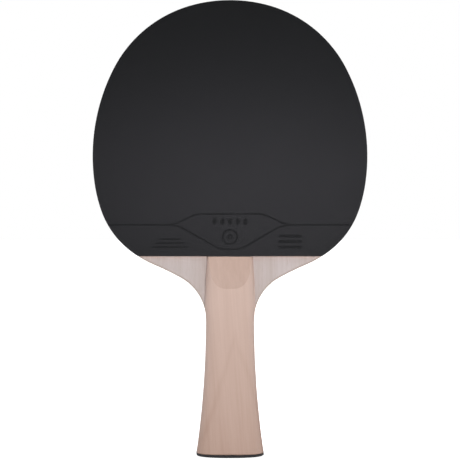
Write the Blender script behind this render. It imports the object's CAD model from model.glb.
"""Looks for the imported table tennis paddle: materials, studio and the photograph's camera."""

import math

import bpy
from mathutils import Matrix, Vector


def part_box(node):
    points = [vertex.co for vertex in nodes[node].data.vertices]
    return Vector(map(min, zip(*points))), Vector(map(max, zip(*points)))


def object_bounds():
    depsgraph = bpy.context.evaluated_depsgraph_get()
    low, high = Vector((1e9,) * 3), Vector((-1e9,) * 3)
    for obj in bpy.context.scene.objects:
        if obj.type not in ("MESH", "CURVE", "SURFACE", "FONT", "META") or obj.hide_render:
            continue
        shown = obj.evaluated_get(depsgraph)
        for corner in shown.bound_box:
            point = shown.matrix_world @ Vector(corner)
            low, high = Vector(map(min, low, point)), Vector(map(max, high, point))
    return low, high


MM = 0.001

# --- camera, in metres: its distance and the picture's height are judged from the photograph ---
CAMERA_DISTANCE = 0.6
PICTURE_HEIGHT = 0.2513  # the height that the picture covers at the playing face
CLIP = (0.01, 100.0)
SENSOR = 36.0  # in mm, a plain choice

# --- lights: places and sizes in metres, powers in watts ---
KEY_PLACE = (0.14, -1.2)
KEY_RISE = 0.08  # above the object's middle
KEY_SIZE = (0.3, 0.3)
KEY_POWER = 7.85
SHEEN_PLACE = (0.03, -1.2, 0.15)
SHEEN_SIZE = (0.7, 0.16)
SHEEN_POWER = 1.44
SHEEN_COLOUR = (1.0, 0.95, 1.08)
FILL_PLACE = (0.9, -0.25, 0.1)  # on the right; its twin is as far out on the left
FILL_SIZE = (0.5, 0.8)
LEFT_POWER = 1.5
RIGHT_POWER = 1.6
FILL_COLOUR = (0.9, 0.97, 1.15)
BACK_PLACE = (-0.5, 1.2, 0.5)
BACK_SIZE = (0.8, 0.8)
BACK_POWER = 4.0
WHITE = (1, 1, 1)

# --- surroundings and floor ---
FRONT_AROUND = 0.28  # brightness of the surroundings in front of the paddle
BACK_AROUND = 1.0
AROUND_TURNS = (-0.1, 0.4)  # between these, by a direction's Y, the one becomes the other
FLOOR_HALF = 12.0
FLOOR_GREY = 0.8
FLOOR_ROUGHNESS = 0.9
FLOOR_GLOW = 0.9  # only the camera sees it

# --- the top sheets' meshes ---
PIP_SHARE = 0.6  # a little more of a sheet's thickness than its pips take
WELD_WITHIN = 1e-6  # metres
TRIANGLES_KEPT = 0.5

# --- noise ---
NOISE_ROUGHNESS = 0.5
NOISE_RANGE = (0.2, 0.8)  # the part of a noise that is spread over the whole of a wood's tone

# --- wood: noise cells for each millimetre across the grain, and along it ---
FIGURE = (0.16, 0.008)
STREAKS = (0.9, 0.012)
FIBRES = (3.2, 0.04)
PORES = (7.0, 0.22)
PORE_LEVELS = (0.66, 0.74)  # of its noise, where a pore starts to show and where it is full
WOOD_RELIEF = 0.02 * MM
WOOD_BUMP = 0.5
PORE_DEPTH = 0.8  # against the fibres' relief
ROUGHNESS_SPREAD = (-0.05, 0.08)  # round a wood's own roughness, from fibre to fibre
FADE_HEIGHTS = (35.0, -50.0)  # mm, where the handle starts and stops darkening to the butt
CUT_SLOPES = (0.03, 0.14)  # a normal's Z where end grain starts to show, and where it is full

# --- the growth ring that shows on the handle, in millimetres ---
ARCH_TOP = (3.0, 18.0)  # x and z where its sides would meet, above its rounded tip
ARCH_ROUNDING = 1.0
ARCH_SPREAD = 0.3  # how far it spreads sideways for each mm towards the butt
ARCH_WIDTH = 2.2  # how far its line takes to fade out on each side
ARCH_WANDER = 5.0
ARCH_WANDER_CELLS = (0.08, 0.08, 0.03)

# --- rubber: noise cells for each millimetre, and depths in millimetres ---
CLOUD_CELLS = (0.03, 0.03, 0.03)
CLOUD_RANGE = (0.1, 0.9)
MOULD_CELLS = (9, 9, 9)
MOULD_RELIEF = 0.004 * MM
MOULD_BUMP = 0.5
RUBBER_SPECULAR = 0.2
RUBBER_ROUGHNESS = (0.28, 0.32)
HOLLOW_FROM = 0.04  # how far below the playing face a groove starts to look duller
HOLLOW_FULL = 0.12
HOLLOW_DARKER = 0.18
HOLLOW_ROUGHER = 0.12

# --- sponge and plastic ---
SPONGE_CELLS = (3.2, 3.2, 3.2)
SPONGE_HOLES = (0.12, 0.4)  # from a cell's middle, where a hole starts to fade and where it ends
SPONGE_HOLE_SHADE = 0.55
SPONGE_HOLE_SHARE = 0.7
SPONGE_ROUGHNESS = 0.85
SPONGE_RELIEF = 0.15 * MM
SPONGE_BUMP = 0.7
PLASTIC_CELLS = (6, 6, 6)
PLASTIC_RANGE = (0.3, 0.7)
PLASTIC_ROUGHNESS = (0.36, 0.44)
PLASTIC_RELIEF = 0.01 * MM
PLASTIC_BUMP = 0.4

# --- colours, as sRGB 0 to 255 ---
BLACK_SHEET = (12, 14, 14)
BLACK_SHEET_CLOUD = (15, 16, 17)
RED_SHEET = (176, 24, 26)
RED_SHEET_CLOUD = (160, 20, 22)
SPONGE = (238, 158, 84)
WING_LIGHT = (210, 200, 200)
WING_DARK = (183, 168, 160)
HANDLE_LIGHT = (211, 185, 172)
HANDLE_DARK = (180, 150, 134)
CORE_LIGHT = (226, 202, 164)
CORE_DARK = (196, 164, 122)
INNER_LIGHT = (196, 160, 118)
INNER_DARK = (160, 120, 82)
CAP = (40, 40, 42)
BLACK = (0, 0, 0, 1)

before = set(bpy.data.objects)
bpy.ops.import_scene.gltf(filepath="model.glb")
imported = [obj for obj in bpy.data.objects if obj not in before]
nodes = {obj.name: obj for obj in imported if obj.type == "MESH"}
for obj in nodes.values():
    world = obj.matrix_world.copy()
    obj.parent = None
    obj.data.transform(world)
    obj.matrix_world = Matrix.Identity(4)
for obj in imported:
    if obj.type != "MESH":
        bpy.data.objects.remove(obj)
cad_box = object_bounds()
middle = (cad_box[0] + cad_box[1]) / 2


def linear(colour):
    """An sRGB colour of 0 to 255 as the linear RGBA that Blender's nodes take."""
    channels = []
    for value in colour:
        c = value / 255
        channels.append(c / 12.92 if c <= 0.04045 else ((c + 0.055) / 1.055) ** 2.4)
    return (*channels, 1.0)


class Graph:
    """Short-hand for building a material's node tree."""

    def __init__(self, name):
        self.material = bpy.data.materials.new(name)
        self.material.use_nodes = True
        self.tree = self.material.node_tree
        self.tree.nodes.clear()
        self.shader = self.add("ShaderNodeBsdfPrincipled")
        output = self.add("ShaderNodeOutputMaterial")
        self.join(self.shader.outputs["BSDF"], output.inputs["Surface"])

    def add(self, kind, **settings):
        node = self.tree.nodes.new(kind)
        for key, value in settings.items():
            setattr(node, key, value)
        return node

    def join(self, source, target):
        self.tree.links.new(source, target)

    def feed(self, socket, value):
        """Link an output to an input, or set it to a plain value."""
        if isinstance(value, bpy.types.NodeSocket):
            self.join(value, socket)
        else:
            socket.default_value = value

    def surface(self, **inputs):
        """Feed the shader's inputs, with _ for each space in their names."""
        for key, value in inputs.items():
            self.feed(self.shader.inputs[key.replace("_", " ")], value)

    def math(self, operation, a, b=0.0, c=0.0):
        node = self.add("ShaderNodeMath", operation=operation)
        for socket, value in zip(node.inputs, (a, b, c)):
            self.feed(socket, value)
        return node.outputs[0]

    def split(self, vector):
        """The X, Y and Z of a vector."""
        node = self.add("ShaderNodeSeparateXYZ")
        self.join(vector, node.inputs["Vector"])
        return node.outputs

    def facing(self):
        """The way that the surface faces, in the row's frame."""
        return self.add("ShaderNodeTexCoord").outputs["Normal"]

    def place(self):
        """Position on the piece in millimetres, the same as in the row's frame."""
        coordinates = self.add("ShaderNodeTexCoord")
        return self.stretch(coordinates.outputs["Object"], (1 / MM, 1 / MM, 1 / MM))

    def stretch(self, vector, scale, turn=(0, 0, 0)):
        node = self.add("ShaderNodeMapping")
        self.join(vector, node.inputs["Vector"])
        node.inputs["Rotation"].default_value = turn
        node.inputs["Scale"].default_value = scale
        return node.outputs["Vector"]

    def noise(self, place, cells, detail=2.0, distortion=0.0):
        """Noise with this many cells for each millimetre, along each axis."""
        node = self.add("ShaderNodeTexNoise")
        self.join(self.stretch(place, cells), node.inputs["Vector"])
        node.inputs["Scale"].default_value = 1.0
        node.inputs["Detail"].default_value = detail
        node.inputs["Roughness"].default_value = NOISE_ROUGHNESS
        node.inputs["Distortion"].default_value = distortion
        return node.outputs["Fac"]

    def spread(self, value, low, high, new_low=0.0, new_high=1.0):
        """Map a range of a value onto another range, clamped."""
        node = self.add("ShaderNodeMapRange")
        self.feed(node.inputs["Value"], value)
        for key, number in (("From Min", low), ("From Max", high),
                            ("To Min", new_low), ("To Max", new_high)):
            self.feed(node.inputs[key], number)
        return node.outputs["Result"]

    def blend(self, amount, low, high):
        """A colour between two, each an RGBA or a node's output."""
        node = self.add("ShaderNodeMix", data_type="RGBA")
        self.feed(node.inputs["Factor"], amount)
        self.feed(node.inputs["A"], low)
        self.feed(node.inputs["B"], high)
        return node.outputs["Result"]

    def bump(self, height, distance, strength):
        node = self.add("ShaderNodeBump")
        node.inputs["Strength"].default_value = strength
        node.inputs["Distance"].default_value = distance
        self.join(height, node.inputs["Height"])
        self.join(node.outputs["Normal"], self.shader.inputs["Normal"])


def along_grain(g, place, cells, **settings):
    """Noise that is drawn out along the grain, which runs along Z."""
    across, along = cells
    return g.noise(place, (across, across, along), **settings)


def arch(g):
    """An arch that opens towards the butt: a growth ring cut at a shallow angle."""
    place = g.place()
    wander = g.noise(place, ARCH_WANDER_CELLS)
    across = g.math("SUBTRACT", g.split(place)["X"], ARCH_TOP[0])
    shift = g.math("MULTIPLY", g.math("SUBTRACT", wander, 0.5), ARCH_WANDER)
    across = g.math("ADD", across, shift)
    squared = g.math("MULTIPLY", across, across)
    reach = g.math("SQRT", g.math("ADD", squared, ARCH_ROUNDING ** 2))
    over_top = g.math("SUBTRACT", g.split(place)["Z"], ARCH_TOP[1])
    off = g.math("ABSOLUTE", g.math("ADD", reach, g.math("MULTIPLY", over_top, ARCH_SPREAD)))
    return g.spread(off, 0.0, ARCH_WIDTH, 1.0, 0.0)


def wood(name, light, dark, tilt=0.0, across=False, figure=0.2, fibre=0.2, pores=0.3,
         roughness=0.5, fade=0.0, end_grain=0.0, ring=0.0):
    """Plain sliced wood: broad figure, fine fibres and short dark pores along the grain.

    The grain runs along Z, tilted, or across the blade. fade darkens it towards the butt,
    end_grain where the surface cuts across the grain, and ring along a growth ring's arch.
    """
    g = Graph(name)
    turn = math.pi / 2 + tilt if across else tilt
    place = g.stretch(g.place(), (1, 1, 1), turn=(0, turn, 0))
    broad = along_grain(g, place, FIGURE, detail=3, distortion=0.6)
    streak = along_grain(g, place, STREAKS, detail=3)
    fine = along_grain(g, place, FIBRES, detail=3)
    pore = g.spread(along_grain(g, place, PORES, detail=1), *PORE_LEVELS)
    tone = g.math("MULTIPLY", g.spread(broad, *NOISE_RANGE), figure)
    tone = g.math("ADD", tone, g.math("MULTIPLY", g.spread(streak, *NOISE_RANGE), figure))
    tone = g.math("ADD", tone, g.math("MULTIPLY", g.spread(fine, *NOISE_RANGE), fibre))
    tone = g.math("ADD", tone, g.math("MULTIPLY", pore, pores))
    if fade:
        height = g.split(g.place())["Z"]
        tone = g.math("ADD", tone, g.spread(height, *FADE_HEIGHTS, 0.0, fade))
    if ring:
        tone = g.math("ADD", tone, g.math("MULTIPLY", arch(g), ring))
    if end_grain:
        slope = g.math("ABSOLUTE", g.split(g.facing())["Z"])
        tone = g.math("ADD", tone, g.spread(slope, *CUT_SLOPES, 0.0, end_grain))
    smoothest, roughest = (roughness + step for step in ROUGHNESS_SPREAD)
    g.surface(Base_Color=g.blend(tone, linear(light), linear(dark)),
              Roughness=g.spread(fine, *NOISE_RANGE, smoothest, roughest))
    g.bump(g.math("SUBTRACT", fine, g.math("MULTIPLY", pore, PORE_DEPTH)), WOOD_RELIEF,
           WOOD_BUMP)
    return g.material


def sheet_rubber(name, colour, cloud_colour):
    """Smooth pimpled-rubber sheet: soft sheen, a very fine mould texture and duller hollows."""
    g = Graph(name)
    place = g.place()
    cloud = g.noise(place, CLOUD_CELLS, detail=3)
    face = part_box("topsheet_back")[1].y / MM
    depth = g.math("ABSOLUTE", g.split(place)["Y"])
    hollow = g.spread(depth, face - HOLLOW_FULL, face - HOLLOW_FROM, 1.0, 0.0)
    tone = g.blend(g.spread(cloud, *CLOUD_RANGE), linear(colour), linear(cloud_colour))
    rough = g.spread(cloud, *CLOUD_RANGE, *RUBBER_ROUGHNESS)
    g.surface(Base_Color=g.blend(g.math("MULTIPLY", hollow, HOLLOW_DARKER), tone, BLACK),
              Roughness=g.math("ADD", rough, g.math("MULTIPLY", hollow, HOLLOW_ROUGHER)),
              Specular_IOR_Level=RUBBER_SPECULAR)
    g.bump(g.noise(place, MOULD_CELLS), MOULD_RELIEF, MOULD_BUMP)
    return g.material


def foam(name, colour):
    """Fine open-celled sponge."""
    g = Graph(name)
    cells = g.add("ShaderNodeTexVoronoi", feature="F1")
    g.join(g.stretch(g.place(), SPONGE_CELLS), cells.inputs["Vector"])
    hole = g.spread(cells.outputs["Distance"], *SPONGE_HOLES, 1.0, 0.0)
    light = linear(colour)
    dark = tuple(SPONGE_HOLE_SHADE * c for c in light[:3]) + (1.0,)
    g.surface(Base_Color=g.blend(g.math("MULTIPLY", hole, SPONGE_HOLE_SHARE), light, dark),
              Roughness=SPONGE_ROUGHNESS)
    g.bump(g.math("MULTIPLY", hole, -1.0), SPONGE_RELIEF, SPONGE_BUMP)
    return g.material


def satin_plastic(name, colour):
    g = Graph(name)
    grain = g.noise(g.place(), PLASTIC_CELLS)
    g.surface(Base_Color=linear(colour),
              Roughness=g.spread(grain, *PLASTIC_RANGE, *PLASTIC_ROUGHNESS))
    g.bump(grain, PLASTIC_RELIEF, PLASTIC_BUMP)
    return g.material


def dress(names, material):
    """Give CAD nodes a material in place of their plain one."""
    for name in names:
        for slot in nodes[name].material_slots:
            slot.material = material


def dress_paddle():
    dress(["core_ply"], wood("core wood", CORE_LIGHT, CORE_DARK, figure=0.4))
    dress(["inner_ply_front", "inner_ply_back"],
          wood("inner veneer", INNER_LIGHT, INNER_DARK, across=True))
    dress(["outer_ply_front", "outer_ply_back"],
          wood("outer veneer", WING_LIGHT, WING_DARK, figure=0.35, fibre=0.45, pores=0.5,
               end_grain=0.7))
    dress(["handle_scale_front", "handle_scale_back"],
          wood("handle wood", HANDLE_LIGHT, HANDLE_DARK, tilt=math.radians(4), figure=0.25,
               fibre=0.12, pores=0.1, roughness=0.45, fade=0.5, end_grain=0.2, ring=0.14))
    dress(["sponge_front", "sponge_back"], foam("sponge", SPONGE))
    dress(["topsheet_front"], sheet_rubber("black rubber", BLACK_SHEET, BLACK_SHEET_CLOUD))
    dress(["topsheet_back"], sheet_rubber("red rubber", RED_SHEET, RED_SHEET_CLOUD))
    dress(["end_cap"], satin_plastic("cap plastic", CAP))


def lighten_sheets():
    """Weld the top sheets' meshes and halve their triangles, on the inner side, with the pips.

    This keeps each under the 200,000 triangles that the visual export thins by itself, which
    leaves unwelded meshes full of cracks.
    """
    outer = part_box("topsheet_back")[1].y
    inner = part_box("topsheet_back")[0].y
    pips_end = inner + PIP_SHARE * (outer - inner)
    for name in ("topsheet_front", "topsheet_back"):
        sheet = nodes[name]
        on_pips = [v.index for v in sheet.data.vertices if abs(v.co.y) < pips_end]
        sheet.vertex_groups.new(name="pips").add(on_pips, 1.0, "REPLACE")
        weld = sheet.modifiers.new("weld", "WELD")
        weld.merge_threshold = WELD_WITHIN
        thin = sheet.modifiers.new("thin", "DECIMATE")
        thin.ratio = TRIANGLES_KEPT
        thin.vertex_group = "pips"


def soft_light(name, place, size, power, colour=WHITE):
    """An oval soft light aimed at the middle of the object."""
    light = bpy.data.lights.new(name, "AREA")
    light.shape = "ELLIPSE"
    light.size, light.size_y = size
    light.energy = power
    light.color = colour
    lamp = bpy.data.objects.new(name, light)
    lamp.location = place
    lamp.rotation_euler = (middle - Vector(place)).to_track_quat("-Z", "Y").to_euler()
    bpy.context.scene.collection.objects.link(lamp)
    return lamp


def make_lights():
    """A frontal key for the wood, a weaker strip for the sheets' sheen, two fills and a back."""
    key = soft_light("key", (*KEY_PLACE, middle.z + KEY_RISE), KEY_SIZE, KEY_POWER)
    key.visible_glossy = False
    sheen = soft_light("sheen", SHEEN_PLACE, SHEEN_SIZE, SHEEN_POWER, SHEEN_COLOUR)
    sheen.visible_diffuse = False
    x, y, z = FILL_PLACE
    for place, power in (((-x, y, z), LEFT_POWER), ((x, y, z), RIGHT_POWER)):
        soft_light("side fill", place, FILL_SIZE, power, FILL_COLOUR)
    soft_light("back fill", BACK_PLACE, BACK_SIZE, BACK_POWER)


def make_floor():
    """A pale floor that the camera sees as white, with a faint contact shadow."""
    low = cad_box[0].z
    mesh = bpy.data.meshes.new("floor")
    h = FLOOR_HALF
    corners = [(-h, -h, low), (h, -h, low), (h, h, low), (-h, h, low)]
    mesh.from_pydata(corners, [], [(0, 1, 2, 3)])
    floor = bpy.data.objects.new("floor", mesh)
    bpy.context.scene.collection.objects.link(floor)
    g = Graph("floor")
    seen = g.add("ShaderNodeLightPath").outputs["Is Camera Ray"]
    g.surface(Base_Color=(FLOOR_GREY, FLOOR_GREY, FLOOR_GREY, 1), Roughness=FLOOR_ROUGHNESS,
              Specular_IOR_Level=0.0, Emission_Color=(1, 1, 1, 1),
              Emission_Strength=g.math("MULTIPLY", seen, FLOOR_GLOW))
    mesh.materials.append(g.material)


def make_world():
    """A white backdrop that the camera sees on every side, and dimmer light from the front."""
    world = bpy.data.worlds.new("studio")
    bpy.context.scene.world = world
    world.use_nodes = True
    tree = world.node_tree
    tree.nodes.clear()
    way = tree.nodes.new("ShaderNodeTexCoord")
    split = tree.nodes.new("ShaderNodeSeparateXYZ")
    shade = tree.nodes.new("ShaderNodeMapRange")
    rays = tree.nodes.new("ShaderNodeLightPath")
    level = tree.nodes.new("ShaderNodeMath")
    level.operation = "MAXIMUM"
    light = tree.nodes.new("ShaderNodeBackground")
    output = tree.nodes.new("ShaderNodeOutputWorld")
    ends = (*AROUND_TURNS, FRONT_AROUND, BACK_AROUND)
    for key, number in zip(("From Min", "From Max", "To Min", "To Max"), ends):
        shade.inputs[key].default_value = number
    tree.links.new(way.outputs["Generated"], split.inputs["Vector"])
    tree.links.new(split.outputs["Y"], shade.inputs["Value"])
    tree.links.new(shade.outputs["Result"], level.inputs[0])
    tree.links.new(rays.outputs["Is Camera Ray"], level.inputs[1])
    tree.links.new(level.outputs[0], light.inputs["Color"])
    tree.links.new(light.outputs[0], output.inputs["Surface"])


def make_camera():
    """Level with the middle of the picture, square on to the front face."""
    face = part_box("topsheet_front")[0].y
    camera = bpy.data.cameras.new("camera")
    camera.sensor_width = SENSOR
    camera.lens = SENSOR * (CAMERA_DISTANCE + face) / PICTURE_HEIGHT
    camera.clip_start, camera.clip_end = CLIP
    holder = bpy.data.objects.new("camera", camera)
    holder.location = (0.0, -CAMERA_DISTANCE, cad_box[1].z - PICTURE_HEIGHT / 2)
    holder.rotation_euler = (math.pi / 2, 0, 0)
    bpy.context.scene.collection.objects.link(holder)
    bpy.context.scene.camera = holder


dress_paddle()
lighten_sheets()
make_world()
make_lights()
make_floor()
make_camera()
bpy.context.scene.view_settings.view_transform = "Standard"
